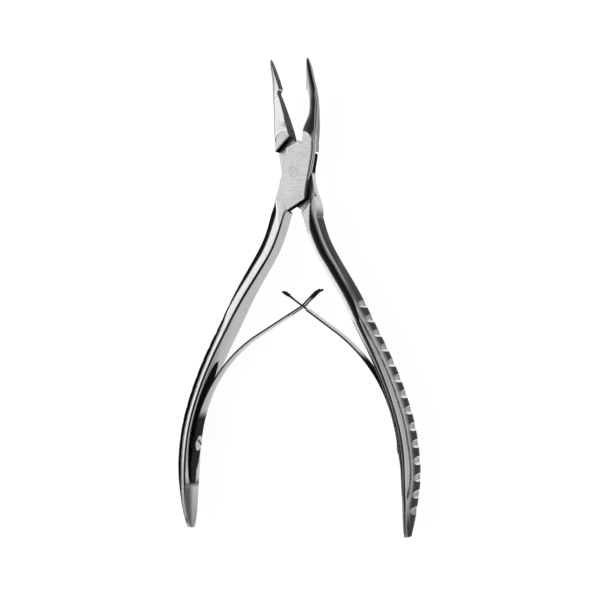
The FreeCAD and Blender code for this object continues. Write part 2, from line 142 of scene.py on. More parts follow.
# %% [markdown]
# ## The studio
#
# Polished steel shows nothing but its surroundings. The photograph has strong contrasts: long white
# light boxes give the light lands, and dark gaps between them give the black bands. A few area lights
# could give the same boxes, but their edges would be hard and each would need its own place.
#
# The world is therefore a room of soft bands that run along the instrument. A band is set by its
# angle around the long axis, counted in degrees from straight up, and the bands fade past the jaws.
# A ray that goes straight from the camera to the world meets a plain pale backdrop instead.

# %% Room of soft bands
room_bands = [(-180, 0.3), (-97, 0.2), (-92, 0.01), (-72, 0.01), (-60, 0.7), (-50, 0.6), (-24, 0.6),
              (-17, 0.12), (-6, 0.03), (10, 0.01), (32, 0.01), (42, 0.15), (52, 0.45), (60, 0.65),
              (72, 0.7), (90, 0.4), (180, 0.3)]
end_bands = [(-1.0, 0.8), (-0.3, 1.0), (0.2, 1.0), (0.6, 0.5), (1.0, 0.3)]
room_strength = 1.6
backdrop_grey = 0.6


def grey_ramp(tree, share, stops, low, high):
    """Colour ramp of greys whose stops are given in their own units, from low to high."""
    made = node(tree, "ValToRGB", Fac=share)
    ramp = made.color_ramp
    while len(ramp.elements) < len(stops):
        ramp.elements.new(1.0)
    for element, (place, grey) in zip(ramp.elements, stops):
        element.position = (place - low) / (high - low)
        element.color = (grey, grey, grey, 1.0)
    return made.outputs[0]


def make_room():
    world = bpy.data.worlds.new("studio_room")
    world.use_nodes = True
    tree = world.node_tree
    tree.nodes.clear()
    axes = node(tree, "SeparateXYZ", Vector=node(tree, "TexCoord").outputs["Generated"]).outputs
    angle = calc(tree, "ARCTAN2", axes["X"], axes["Z"])
    bands = grey_ramp(tree, mapped(tree, angle, -math.pi, math.pi), room_bands, -180, 180)
    ends = grey_ramp(tree, mapped(tree, axes["Y"], -1.0, 1.0), end_bands, -1, 1)
    seen = node(tree, "LightPath").outputs["Is Camera Ray"]
    backdrop = calc(tree, "MULTIPLY", seen, backdrop_grey)
    light = calc(tree, "MAXIMUM", calc(tree, "MULTIPLY", bands, ends), backdrop)
    glow = node(tree, "Background", Color=light, Strength=room_strength)
    link(tree, glow.outputs[0], node(tree, "OutputWorld").inputs["Surface"])
    bpy.context.scene.world = world
    return world


print("world:", make_room().name)

# %% [markdown]
# ### Panel
#
# The satin joint blurs the room, so the narrow bands alone leave it too dark. One big panel above on
# the left lights it evenly. A sun lamp would light it too, but with a small hard glint on the polished
# steel.

# %% Panel above on the left
panel_place = Vector((-0.62, 0.1, 0.75))
panel_width, panel_length = 0.5, 0.9
panel_watts = 1.0


def make_panel(name):
    """A soft rectangular light that faces the middle of the instrument."""
    data = bpy.data.lights.new(name, "AREA")
    data.shape = "RECTANGLE"
    data.size, data.size_y = panel_width, panel_length
    data.energy = panel_watts
    light = bpy.data.objects.new(name, data)
    bpy.context.scene.collection.objects.link(light)
    light.location = panel_place
    light.rotation_mode = "QUATERNION"
    light.rotation_quaternion = (aim - light.location).to_track_quat("-Z", "Y")
    return light


print("light:", make_panel("panel_above_left").name)
bpy.context.scene.view_settings.view_transform = "Standard"

# %% [markdown]
# ### Floor
#
# The object lies on a plain white sheet without a shadow in the photograph. A floor that only reflects
# would come out grey beside bright steel and would darken under the levers, so this one glows almost
# by itself, and it is also the white that the steep sides of the steel mirror.

# %% Floor
floor_drop = 0.15 * mm
floor_reach = 3.0
floor_grey, floor_rough, floor_glow = 0.15, 0.9, 0.95


def make_floor():
    low, r = cad_box[0].z - floor_drop, floor_reach
    mesh = bpy.data.meshes.new("floor")
    mesh.from_pydata([(-r, -r, low), (r, -r, low), (r, r, low), (-r, r, low)], [], [(0, 1, 2, 3)])
    floor = bpy.data.objects.new("floor", mesh)
    bpy.context.scene.collection.objects.link(floor)
    white = bpy.data.materials.new("pale_floor")
    white.use_nodes = True
    shader = white.node_tree.nodes["Principled BSDF"]
    shader.inputs["Base Color"].default_value = (floor_grey, floor_grey, floor_grey, 1.0)
    shader.inputs["Roughness"].default_value = floor_rough
    shader.inputs["Emission Color"].default_value = (1.0, 1.0, 1.0, 1.0)
    shader.inputs["Emission Strength"].default_value = floor_glow
    mesh.materials.append(white)
    return floor


print("floor:", make_floor().name)

# %% [markdown]
# ## The leaf springs
#
# Each spring is one strip of spring steel. Its pointed foot is screwed into a channel in the handle,
# then it bends away and runs straight to where it crosses the other leaf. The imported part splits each
# leaf at a hinge, so that it can move. Here each is drawn as the one strip it really is: a line is
# walked from the foot, with straight and bent lengths, and a rounded section is swept along it.
#
# A curve object with a bevel could sweep the strip as well, but its width can't change as sharply as
# at the T-shaped head, so the mesh is made ring by ring.

# %% Leaf sizes
half_opening = math.radians(9.5)
leaf_thickness = 0.5 * mm
leaf_rounding = 0.12 * mm
screw_place = Vector((-17.58 * mm, -82.0 * mm, 0.0))
foot_lean = math.radians(-1.0)
foot_below_screw, foot_above_screw = 11.0 * mm, 2.7 * mm
foot_point_length, foot_ease_length = 5.0 * mm, 5.0 * mm
foot_bend_length = 12.0 * mm
leaf_crossing = Vector((1.9 * mm, -38.1 * mm, 0.0))
foot_width, blade_width, end_width, tip_width = 5.8 * mm, 4.4 * mm, 3.8 * mm, 1.6 * mm
fork_radius, tongue_radius = 41.3 * mm, 45.0 * mm
print("leaf thickness, mm:", leaf_thickness / mm)

# %% [markdown]
# ### Walking the line of a leaf
#
# A bent strip is easiest to describe as its maker bends it: so far straight on, then so many degrees
# round a former of this radius. The line is walked that way and leaves a station at each small step.
# Where the leaf has to point at the place where the two leaves cross, the last bend is worked out.

# %% The walked line
def turned(v, angle):
    return Matrix.Rotation(angle, 3, "Z") @ v


class Leaf:
    """A line walked along the middle of a leaf's thickness, in the frame of a closed left lever."""

    def __init__(self):
        self.heading = Vector((math.sin(foot_lean), math.cos(foot_lean), 0.0))
        self.place = screw_place - self.heading * foot_below_screw
        self.stations = [(self.place.copy(), self.heading.copy())]

    def mark(self):
        self.stations.append((self.place.copy(), self.heading.copy()))

    def straight(self, length, steps):
        for _ in range(steps):
            self.place += self.heading * length / steps
            self.mark()

    def bend(self, radius, angle, steps):
        """Bends to the right for a positive angle."""
        side = -1.0 if angle > 0 else 1.0
        for _ in range(steps):
            across = Vector((-self.heading.y, self.heading.x, 0.0)) * side
            centre = self.place + across * radius
            self.place = centre + turned(self.place - centre, -angle / steps)
            self.heading = turned(self.heading, -angle / steps)
            self.mark()

    def last_bend(self, radius, crossing):
        """Angle still to bend before the leaf points straight at the crossing, and the length to it."""
        inward = Vector((self.heading.y, -self.heading.x, 0.0))
        centre = self.place + inward * radius
        reach = (crossing - centre).length
        start = math.atan2(-inward.y, -inward.x)
        goal = math.atan2(crossing.y - centre.y, crossing.x - centre.x)
        return start - goal - math.acos(radius / reach), math.sqrt(reach * reach - radius * radius)


def walked_leaf(radius, crossing):
    leaf = Leaf()
    leaf.straight(foot_below_screw + foot_above_screw, 24)
    leaf.bend(radius, foot_bend_length / radius, 16)
    hinge = leaf.place.copy()
    angle, length = leaf.last_bend(radius, crossing)
    leaf.bend(radius, angle, 36)
    leaf.straight(length, 16)
    return leaf, hinge


print("feet start at, mm:", [round(v / mm, 2) for v in Leaf().place])

# %% [markdown]
# ### Sweeping the strip
#
# At each station a ring of points is laid across the line, a rectangle with rounded corners, and
# each ring is joined to the next. A stamped strip never has sharp edges, and the small rounding is what
# draws the fine bright line along them.

# %% The swept strip
def section(half_width, lift):
    """Rounded-rectangle outline of the strip, as (across its thickness, along Z) pairs."""
    half = leaf_thickness / 2
    r = min(leaf_rounding, half_width * 0.4)
    corners = []
    for n_side, z_side, first in ((1, 1, 0), (-1, 1, 90), (-1, -1, 180), (1, -1, 270)):
        for step in (0, 30, 60, 90):
            a = math.radians(first + step)
            corners.append((n_side * (half - r) + r * math.cos(a),
                            lift + z_side * (half_width - r) + r * math.sin(a)))
    return corners


def sweep(bm, stations, width_at, lift=0.0):
    """Closed strip through the stations, with its width given by width_at(station's place)."""
    rings = []
    for place, heading in stations:
        out = Vector((-heading.y, heading.x, 0.0))
        ring = [bm.verts.new(place + out * n + Vector((0.0, 0.0, joint_middle + z)))
                for n, z in section(width_at(place) / 2, lift)]
        rings.append(ring)
    count = len(rings[0])
    for a, b in zip(rings, rings[1:]):
        for i in range(count):
            j = (i + 1) % count
            bm.faces.new((a[i], a[j], b[j], b[i]))
    bm.faces.new(list(reversed(rings[0])))
    bm.faces.new(rings[-1])


print("section points:", len(section(blade_width / 2, 0.0)))

# %% [markdown]
# ### Width along the leaf
#
# The foot starts in a point, is widest at the screw, and the blade is narrower. A real leaf is punched
# to this outline and then bent. Cutting a bent solid is harder, so here the width comes from stops
# along the leaf, and it runs straight from one stop to the next.

# %% Widths
def width_stops(stops):
    def width_at(place):
        for (low, w0), (high, w1) in zip(stops, stops[1:]):
            if place.y <= high:
                share = max(0.0, (place.y - low) / (high - low))
                return w0 + (w1 - w0) * share
        return stops[-1][1]
    return width_at


def between(stations, low, high):
    """Stations from one height along the leaf to another, with one placed exactly at each."""
    kept = []
    for (p, h), (q, g) in zip(stations, stations[1:]):
        for limit in (low, high):
            if p.y < limit <= q.y:
                share = (limit - p.y) / (q.y - p.y)
                kept.append((p.lerp(q, share), h.lerp(g, share).normalized()))
        if low < q.y < high:
            kept.append((q, g))
    return sorted(kept, key=lambda s: s[0].y)


def foot_stops(leaf):
    start = leaf.stations[0][0].y
    end = screw_place.y + foot_above_screw + foot_ease_length
    return [(start, tip_width), (start + foot_point_length, foot_width), (end, foot_width),
            (end + foot_bend_length, blade_width)]


print("foot widths, mm:", [round(w / mm, 1) for _, w in foot_stops(Leaf())])

# %% [markdown]
# ### The fork and the tongue
#
# The left leaf ends in a slot between two prongs, and the right leaf in a narrow tongue with a
# T-shaped head. The tongue lies in the slot, and its head keeps it from slipping out. The prongs are
# two thin strips that start inside the end of the leaf. The slot could be cut out of a wide leaf, but
# that would leave long thin faces that shade badly on a bend.

# %% Fork leaf
small_bend = 1.5 * mm
slot_width, slot_before_crossing = 1.4 * mm, 3.0 * mm
prong_rise, prong_length = math.radians(13.5), 5.2 * mm
prong_flare, prong_flare_length = math.radians(18.0), 1.3 * mm
prong_overlap, leaf_overlap = 0.3 * mm, 0.2 * mm
first_step, hair = 1e-6, 1e-7


def fork_mesh(bm):
    """Left leaf: past the slot's root it goes on as two prongs, bent up and flared at their tips."""
    crossing = turned(leaf_crossing, half_opening)
    leaf, hinge = walked_leaf(fork_radius, crossing)
    leaf.bend(small_bend, -prong_rise, 4)
    leaf.straight(prong_length, 8)
    leaf.bend(small_bend, prong_flare, 4)
    leaf.straight(prong_flare_length, 3)
    root = crossing.y - slot_before_crossing
    start, tip = leaf.stations[0][0].y + first_step, leaf.place.y
    stops = foot_stops(leaf) + [(root, end_width)]
    sweep(bm, between(leaf.stations, start, root + leaf_overlap), width_stops(stops))
    prong = (end_width - slot_width) / 2
    for side in (-1, 1):
        lift = side * (slot_width + prong) / 2
        sweep(bm, between(leaf.stations, root - prong_overlap, tip), lambda place: prong, lift)
    return hinge


print("prong length, mm:", round(prong_length / mm, 2))

# %% [markdown]
# ### The tongue
#
# The right leaf is drawn as a left one and mirrored afterwards, so that both come from the same line.
# Its width drops at the shoulder and grows again at the head, and a station is placed exactly at each
# of these changes, because a change between two stations would come out as a slope.

# %% Tongue leaf
tongue_width, tongue_shoulder, tongue_length = 1.1 * mm, 1.7 * mm, 7.2 * mm
head_width, head_length = 3.2 * mm, 1.8 * mm
narrowing, width_step = 3.0 * mm, 0.2 * mm


def tongue_mesh(bm):
    crossing = turned(leaf_crossing, -half_opening)
    crossing.x = -crossing.x
    leaf, hinge = walked_leaf(tongue_radius, crossing)
    leaf.straight(tongue_length, 30)
    rise = leaf.heading.y
    shoulder = crossing.y - tongue_shoulder * rise
    start, tip = leaf.stations[0][0].y + first_step, leaf.place.y
    head = tip - head_length * rise
    changes = [(shoulder, end_width), (shoulder + width_step, tongue_width),
               (head - width_step, tongue_width), (head, head_width)]
    stops = foot_stops(leaf) + [(shoulder - narrowing, end_width)] + changes + [(tip, head_width)]
    stations = between(leaf.stations, start, tip)
    for place, width in changes:
        stations += between(leaf.stations, place, place + hair)[:1]
    sweep(bm, sorted(stations, key=lambda s: s[0].y), width_stops(stops))
    return hinge


print("tongue length, mm:", round(tongue_length / mm, 2))

# %% [markdown]
# ### Placing the springs
#
# The foot moves with the lever and the blade with its own hinge. If the strip rode on one of them, the
# other end would come loose when the handles close. Here each leaf is built at rest only, as one fixed
# mesh, and the place of its hinge, where it bends, is printed.

# %% Both springs
sharp_angle = math.radians(35)


def leaf_spring(name, draw, side):
    """One leaf at rest: side -1 is the left lever's, 1 the right lever's, which is the mirror image."""
    bm = bmesh.new()
    hinge = draw(bm)
    if side > 0:
        bmesh.ops.scale(bm, vec=(-1, 1, 1), verts=bm.verts)
        hinge.x = -hinge.x
    bmesh.ops.rotate(bm, matrix=Matrix.Rotation(side * half_opening, 3, "Z"), verts=bm.verts)
    bmesh.ops.recalc_face_normals(bm, faces=bm.faces)
    for face in bm.faces:
        face.smooth = True
    mesh = bpy.data.meshes.new(name)
    bm.to_mesh(mesh)
    bm.free()
    mesh.set_sharp_from_angle(angle=sharp_angle)
    leaf = bpy.data.objects.new(name, mesh)
    bpy.context.scene.collection.objects.link(leaf)
    return leaf, turned(hinge, side * half_opening)


left_leaf, left_hinge = leaf_spring("left_leaf_spring", fork_mesh, -1)
right_leaf, right_hinge = leaf_spring("right_leaf_spring", tongue_mesh, 1)
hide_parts("left_spring_foot", "left_spring_blade")
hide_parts("right_spring_foot", "right_spring_blade")
for leaf, lever, blade, hinge in ((left_leaf, "front_lever", "left_spring", left_hinge),
                                  (right_leaf, "rear_lever", "right_spring", right_hinge)):
    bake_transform(leaf)
    print(leaf.name, "bends about, mm:", [round(v / mm, 2) for v in hinge])

# %% [markdown]
# ## Steel
#
# Steel has hardly any colour of its own. What tells a ground face from a polished one is how it
# blurs the room, and the marks that grinding, polishing and use leave in it. Each kind of mark is a
# node group with named inputs, so that the levers, the leaves, the screws and the rivet share them.
# The groups only put out masks. What a mask does is decided per material.

# %% Group tools
def fade(tree, value, start, end, low=0.0, high=1.0):
    """Smooth step from low at start to high at end, which may run either way."""
    return mapped(tree, value, start, end, low, high, {"interpolation_type": "SMOOTHSTEP"})


def new_group(name, inputs, outputs):
    """Empty node group, with its inputs as (name, kind, value) and its outputs as (name, kind)."""
    group = bpy.data.node_groups.new(name, "ShaderNodeTree")
    for label, kind, value in inputs:
        socket = group.interface.new_socket(name=label, in_out="INPUT", socket_type="NodeSocket" + kind)
        socket.default_value = value
    for label, kind in outputs:
        group.interface.new_socket(name=label, in_out="OUTPUT", socket_type="NodeSocket" + kind)
    return group, group.nodes.new("NodeGroupInput").outputs, group.nodes.new("NodeGroupOutput").inputs


def use(tree, group, **inputs):
    made = tree.nodes.new("ShaderNodeGroup")
    made.node_tree = group
    for key, value in inputs.items():
        plug(tree, made.inputs[key.replace("_", " ")], value)
    return made.outputs


print("groups ready")

# %% [markdown]
# ### Where a point lies
#
# Masks that follow the shape need the place on the part in millimetres, and the surface's direction.
# Both are taken in the object's own frame, so that the marks travel with a lever when it turns. A
# painted map could hold the masks, but it would go stale as soon as a size of the part changes.

# %% Place group
def place_group():
    outputs = [("Place", "Vector"), ("X", "Float"), ("Y", "Float"), ("Z", "Float"),
               ("Facing", "Vector"), ("Facing X", "Float"), ("Facing Y", "Float"), ("Facing Z", "Float")]
    group, _, out = new_group("place_on_part", [], outputs)
    coords = group.nodes.new("ShaderNodeTexCoord")
    in_mm = calc(group, "MULTIPLY", coords.outputs["Object"], (1 / mm,) * 3, kind="VectorMath")
    for vector, first in ((in_mm, 0), (coords.outputs["Normal"], 4)):
        parts = node(group, "SeparateXYZ", Vector=vector)
        link(group, vector, out[first])
        for index in range(3):
            link(group, parts.outputs[index], out[first + 1 + index])
    return group


place = place_group()
print("group:", place.name)

# %% [markdown]
# ### Streaks
#
# Grinding leaves parallel lines, and polishing a much finer cross-grain. A wave texture would be the
# simple way, but its lines repeat and never end, and ground lines do neither. Noise that is squeezed
# hard in one direction looks right.

# %% Streak group
def streak_group():
    inputs = [("Place", "Vector", (0, 0, 0)), ("Squeeze", "Vector", (1, 1, 1)), ("Scale", "Float", 1.0)]
    group, given, out = new_group("grinding_streaks", inputs, [("Height", "Float")])
    drawn_out = calc(group, "MULTIPLY", given["Place"], given["Squeeze"], kind="VectorMath")
    grain = node(group, "TexNoise", Vector=drawn_out, Scale=given["Scale"], Detail=4.0, Roughness=0.65)
    link(group, fade(group, grain.outputs[0], 0.3, 0.7), out["Height"])
    return group


streaks = streak_group()
print("group:", streaks.name)

# %% [markdown]
# ### Scratches
#
# A scratch is long and thin and stands alone. Drawn one by one, scratches would take hundreds of
# curves. The contour line of a squeezed noise is long and thin too, and a second, rounder noise breaks
# it up into strokes. The angle turns the whole field, so that two fields can cross.

# %% Scratch group
scratch_squeeze = (0.05, 1.0, 0.5)


def scratch_group():
    inputs = [("Place", "Vector", (0, 0, 0)), ("Angle", "Float", 0.0), ("Scale", "Float", 1.0),
              ("Width", "Float", 0.02)]
    group, given, out = new_group("fine_scratches", inputs, [("Mask", "Float")])
    swung = node(group, "VectorRotate", {"rotation_type": "Z_AXIS"}, Vector=given["Place"],
                 Angle=given["Angle"])
    drawn_out = calc(group, "MULTIPLY", swung.outputs[0], scratch_squeeze, kind="VectorMath")
    grain = node(group, "TexNoise", Vector=drawn_out, Scale=given["Scale"], Detail=1.0)
    off_line = calc(group, "ABSOLUTE", calc(group, "SUBTRACT", grain.outputs[0], 0.5))
    lines = fade(group, off_line, given["Width"], 0.0)
    patches = node(group, "TexNoise", Vector=given["Place"], Scale=0.5, Detail=1.0)
    broken = fade(group, patches.outputs[0], 0.48, 0.62)
    link(group, calc(group, "MULTIPLY", lines, broken), out["Mask"])
    return group


scratches = scratch_group()
print("group:", scratches.name)

# %% [markdown]
# ### Smudges
#
# Hands leave soft films that dull the gloss a little. Real fingerprints would need a picture and a map
# for every piece, and at this distance only the dulling shows: a wide, slightly twisted cloud.

# %% Smudge group
def smudge_group():
    inputs = [("Place", "Vector", (0, 0, 0)), ("Scale", "Float", 0.2)]
    group, given, out = new_group("smudges", inputs, [("Mask", "Float")])
    cloud = node(group, "TexNoise", Vector=given["Place"], Scale=given["Scale"], Detail=5.0,
                 Roughness=0.55, Distortion=0.6)
    link(group, fade(group, cloud.outputs[0], 0.4, 0.68), out["Mask"])
    return group


smudges = smudge_group()
print("group:", smudges.name)

# %% [markdown]
# ### Corners and hollows
#
# Shade gathers where two pieces meet, and it is painted in here, and the finger grooves get a painted
# highlight. Both are found by looking how open the surface is within a short reach. Painted lines would
# need the place of every seam, and would stay behind when a size changes.

# %% Corner group
def corner_group():
    inputs = [("Reach", "Float", 0.001), ("Low", "Float", 0.5), ("High", "Float", 0.9)]
    group, given, out = new_group("dark_corners", inputs, [("Mask", "Float")])
    near = node(group, "AmbientOcclusion", {"samples": 8}, Distance=given["Reach"])
    link(group, fade(group, near.outputs["AO"], given["High"], given["Low"]), out["Mask"])
    return group


dark_corners = corner_group()
print("group:", dark_corners.name)

# %% [markdown]
# ### Lines along the handle and the jaw
#
# The lands are polished lengthwise, so their light and dark bands follow the bow of the handle. To
# know on which side of a land a point lies, its distance from a line along the land is needed. The
# line is a float curve through a few stops, which is easy to read and to move, and a formula isn't.

# %% Handle and jaw lines
handle_line = [(-107.0, 15.4), (-99.5, 17.6), (-92.5, 19.2), (-84.0, 20.3), (-76.0, 20.35),
               (-67.0, 19.2), (-57.0, 16.9), (-48.0, 14.05), (-38.0, 10.8), (-29.0, 7.1),
               (-22.0, 4.4), (-13.5, 2.8), (-11.0, 2.55)]
jaw_line = [(9.0, 2.2), (13.0, 2.35), (18.0, 2.4), (22.0, 1.9), (25.5, 1.3), (29.0, 0.75), (32.0, 0.3)]
line_reach = 25.0


def line_height(tree, y, stops):
    """Distance of a line from the middle plane at y, through the given (y, distance) stops."""
    (start, first), (end, last) = stops[0], stops[-1]
    curve = node(tree, "FloatCurve", Value=mapped(tree, y, start, end))
    points = curve.mapping.curves[0].points
    points[0].location = (0.0, first / line_reach)
    points[1].location = (1.0, last / line_reach)
    for place_y, distance in stops[1:-1]:
        points.new((place_y - start) / (end - start), distance / line_reach)
    curve.mapping.update()
    return calc(tree, "MULTIPLY", curve.outputs[0], line_reach)


print("stops on handle and jaw:", len(handle_line), len(jaw_line))

# %% [markdown]
# ### Where the polish ends
#
# The joint keeps its ground satin faces, and the polish starts beyond them. On the handle it starts
# along a slanting line. On the jaw the satin face ends in a small arc round the middle. All lengths
# are in millimetres from the pivot, with the lever turned back to where it is closed.

# %% Polished parts
polish_start, polish_slant, polish_fade = -13.0, 3.0, 1.2
face_end_place, face_end_y, face_end_radius, face_end_fade = 1.2, 9.3, 2.66, 0.1


def all_of(tree, *masks):
    """Share where all the masks hold."""
    share = masks[0]
    for mask in masks[1:]:
        share = calc(tree, "MULTIPLY", share, mask)
    return share


def strongest(tree, *masks):
    """Largest of the masks."""
    share = masks[0]
    for mask in masks[1:]:
        share = calc(tree, "MAXIMUM", share, mask)
    return share


def polished_handle(tree, y, across):
    slanted = calc(tree, "SUBTRACT", y, calc(tree, "MULTIPLY", across, polish_slant))
    return all_of(tree, fade(tree, slanted, polish_start + polish_fade, polish_start - polish_fade),
                  fade(tree, y, 0.0, -4.0))


def polished_jaw(tree, y, from_middle):
    past = calc(tree, "MAXIMUM", calc(tree, "SUBTRACT", y, face_end_y), 0.0)
    beside = calc(tree, "MAXIMUM", calc(tree, "SUBTRACT", from_middle, face_end_place), 0.0)
    square = calc(tree, "ADD", calc(tree, "MULTIPLY", past, past), calc(tree, "MULTIPLY", beside, beside))
    low, high = face_end_radius - face_end_fade, face_end_radius + face_end_fade
    return all_of(tree, fade(tree, calc(tree, "SQRT", square), low, high),
                  fade(tree, y, face_end_y - 1.5, face_end_y))


print("polish starts at, mm:", polish_start, face_end_y + face_end_radius)

# %% [markdown]
# ### Crowned lands
#
# Hand polishing leaves no land really flat: it rolls over, from leaning in at its inner edge to
# leaning far out at its outer edge. That is what draws the long light and dark bands on the handles
# and jaws. The solid has flat lands, so the surface's direction is turned here instead, in step with
# the distance from the line along the land. Rounding the solid itself would need far more faces.

# %% Crown group
handle_roll, handle_level, handle_lean_limits = 13.0, 1.3, (-0.3, 0.62)
jaw_roll, jaw_lean_limits = 4.0, (-0.1, 0.5)


def land_lean(tree, across, level, roll, limits, share):
    """Lean in radians: roll degrees for each millimetre from where the land is level."""
    lean = calc(tree, "MULTIPLY", calc(tree, "ADD", across, level), math.radians(roll))
    lean = calc(tree, "MINIMUM", calc(tree, "MAXIMUM", lean, limits[0]), limits[1])
    return calc(tree, "MULTIPLY", lean, share)


def crown_group():
    inputs = [("Place", "Vector", (0, 0, 0)), ("Facing", "Vector", (0, 0, 1)),
              ("Outward", "Float", 1.0), ("Jaw Level", "Float", 0.6)]
    outputs = [("Normal", "Vector"), ("Across", "Float"), ("Across Jaw", "Float"), ("Polished", "Float")]
    group, given, out = new_group("crowned_lands", inputs, outputs)
    turn = calc(group, "MULTIPLY", given["Outward"], -half_opening)
    closed = node(group, "VectorRotate", {"rotation_type": "Z_AXIS"}, Vector=given["Place"], Angle=turn)
    axes = node(group, "SeparateXYZ", Vector=closed.outputs[0]).outputs
    from_middle = calc(group, "ABSOLUTE", axes["X"])
    across = calc(group, "SUBTRACT", from_middle, line_height(group, axes["Y"], handle_line))
    across_jaw = calc(group, "SUBTRACT", from_middle, line_height(group, axes["Y"], jaw_line))
    is_handle = polished_handle(group, axes["Y"], across)
    is_jaw = polished_jaw(group, axes["Y"], from_middle)
    lean = land_lean(group, across, handle_level, handle_roll, handle_lean_limits, is_handle)
    jaw_lean = land_lean(group, across_jaw, given["Jaw Level"], jaw_roll, jaw_lean_limits, is_jaw)
    upward = calc(group, "ABSOLUTE", node(group, "SeparateXYZ", Vector=given["Facing"]).outputs["Z"])
    push = all_of(group, calc(group, "TANGENT", calc(group, "SUBTRACT", lean, jaw_lean)), upward,
                  given["Outward"])
    aside = node(group, "CombineXYZ", X=push).outputs[0]
    into_world = {"vector_type": "NORMAL", "convert_from": "OBJECT", "convert_to": "WORLD"}
    leaned = calc(group, "ADD", given["Facing"], aside, kind="VectorMath")
    world = node(group, "VectorTransform", into_world, Vector=leaned)
    link(group, calc(group, "NORMALIZE", world.outputs[0], kind="VectorMath"), out["Normal"])
    link(group, across, out["Across"])
    link(group, across_jaw, out["Across Jaw"])
    link(group, strongest(group, is_handle, is_jaw), out["Polished"])
    return group


crowned = crown_group()
print("group:", crowned.name)

# %% [markdown]
# ### Zones of a lever
#
# A lever is one piece of steel with several finishes, painted shade and painted highlights, so it is
# divided into zones. Each zone is a mask over the place, in millimetres from the pivot, and over the
# way a face looks. Material slots per face could do the same, but they can't fade, and the solid's
# faces have to stay as they are.
# Each limit of a zone is a pair, from where it starts to fade in to where it is complete. Names with
# "look" are about the way a face looks, as a share from -1 to 1, and the other limits are lengths.

# %% Zone tools
def mixed(tree, share, a, b):
    """a where the share is 0, b where it is 1."""
    return mapped(tree, share, 0.0, 1.0, a, b)


def band(tree, value, start, end, soft):
    """1 from start to end, with soft edges."""
    rise = fade(tree, value, calc(tree, "SUBTRACT", start, soft), calc(tree, "ADD", start, soft))
    fall = fade(tree, value, calc(tree, "ADD", end, soft), calc(tree, "SUBTRACT", end, soft))
    return calc(tree, "MULTIPLY", rise, fall)


def looks(tree, outward):
    """Place, and the shares by which a face looks up or down and by which it looks outward."""
    at = use(tree, place)
    return at, calc(tree, "ABSOLUTE", at["Facing Z"]), calc(tree, "MULTIPLY", at["Facing X"], outward)


print("middle of the joint at, mm:", round(joint_middle / mm, 2))

# %% [markdown]
# ### Zones of the joint
#
# The joint's flat faces are ground. Its walls carry painted dark lines, and the shoulders, corners and
# slots where one lever laps the other get painted shade. A renderer finds such shade by itself only in
# a dim room, and the white floor lights every gap here. Outward is the way along X in which the crown
# faces.

# %% Joint zones
ground_look, ground_end, ground_height = (0.97, 0.99), (14.0, 13.0), (3.3, 3.22)
joint_start, joint_height = (-14.0, -12.0), (3.16, 3.0)
shoulder_look, shoulder_end = (0.4, 0.6), (10.5, 9.5)
corner_look, corner_start, corner_end = (0.5, 0.7), (-0.6, 0.4), (7.4, 6.4)
wall_look, wall_start, wall_end = (-0.6, -0.8), (-12.0, -10.0), (26.0, 18.0)
wall_lines, line_softness, wall_line_shade = ((2.3, 3.1), (1.0, 1.6)), 0.05, 0.93
slot_height, slot_start, slot_shade = (1.7, 1.5), (-0.4, -1.2), 0.98


def joint_group():
    group, given, out = new_group("joint_zones", [("Outward", "Float", 1.0), ("Polished", "Float", 0.0)],
                                  [("Ground", "Float"), ("Wall", "Float"), ("Dark", "Float")])
    at, up, outside = looks(group, given["Outward"])
    y = at["Y"]
    level = calc(group, "ABSOLUTE", calc(group, "SUBTRACT", at["Z"], joint_middle / mm))
    satin = fade(group, given["Polished"], 1.0, 0.0)
    ground = all_of(group, fade(group, up, *ground_look), satin, fade(group, y, *ground_end),
                    fade(group, level, *ground_height))
    in_joint = all_of(group, fade(group, y, *joint_start), fade(group, level, *joint_height))
    endwise = calc(group, "ABSOLUTE", at["Facing Y"])
    # shoulder, lap_corner, slot and the wall lines are painted shade, which goes out as Dark.
    shoulder = all_of(group, in_joint, fade(group, endwise, *shoulder_look),
                      fade(group, y, *shoulder_end))
    lap_corner = all_of(group, in_joint, fade(group, y, *corner_start), fade(group, y, *corner_end),
                        fade(group, outside, *corner_look))
    wall = all_of(group, fade(group, y, *wall_start), fade(group, y, *wall_end),
                  fade(group, outside, *wall_look))
    lines = strongest(group, *[band(group, level, low, high, line_softness) for low, high in wall_lines])
    slot = all_of(group, wall, fade(group, level, *slot_height), fade(group, y, *slot_start))
    link(group, ground, out["Ground"])
    link(group, wall, out["Wall"])
    link(group, strongest(group, shoulder, lap_corner, all_of(group, slot, slot_shade),
                          all_of(group, wall, lines, wall_line_shade)), out["Dark"])
    return group


joint_zones = joint_group()
print("group:", joint_zones.name)

# %% [markdown]
# ### Zones of the handles
#
# The inner side of a handle is only brushed, and the channel under the leaf gets painted shade. The
# finger grooves on the outside get a painted highlight. A painted dark line runs down the crown where
# it faces up by a share between Line Start and Line End. Crown Shade is how far painted shade darkens
# the crown towards its outer edge, and another painted dark line runs down the land's inner edge,
# below Inner Line Start. The handle's ends get painted shade too.

# %% Handle zones
handle_start, top_look, inner_look = (-9.0, -13.0), (0.5, 0.8), (-0.6, -0.85)
channel_look, channel_edge, channel_shade = (-0.2, -0.4), (-1.95, -1.8), 0.98
channel_start, channel_end = (-42.0, -46.0), (-91.5, -89.5)
groove_look, groove_end = (0.2, 0.5), (-97.5, -96.5)
groove_reach, groove_low, groove_high = 1.6 * mm, 0.82, 0.96
crown_line_look, crown_look, groove_share = (0.3, 0.45), (0.76, 0.93), 0.25
upper_slope = (-75.0, -35.0, 0.0, 0.075)
end_inner_start, end_inner_rise = (-87.0, -92.0), (1.0, 6.0, 0.0, 0.8)
end_start, end_top_share = (-90.0, -100.0), 0.4
edge_line, edge_line_fade, edge_line_shade = (-2.25, -1.45, 0.1), 12.0, 0.95


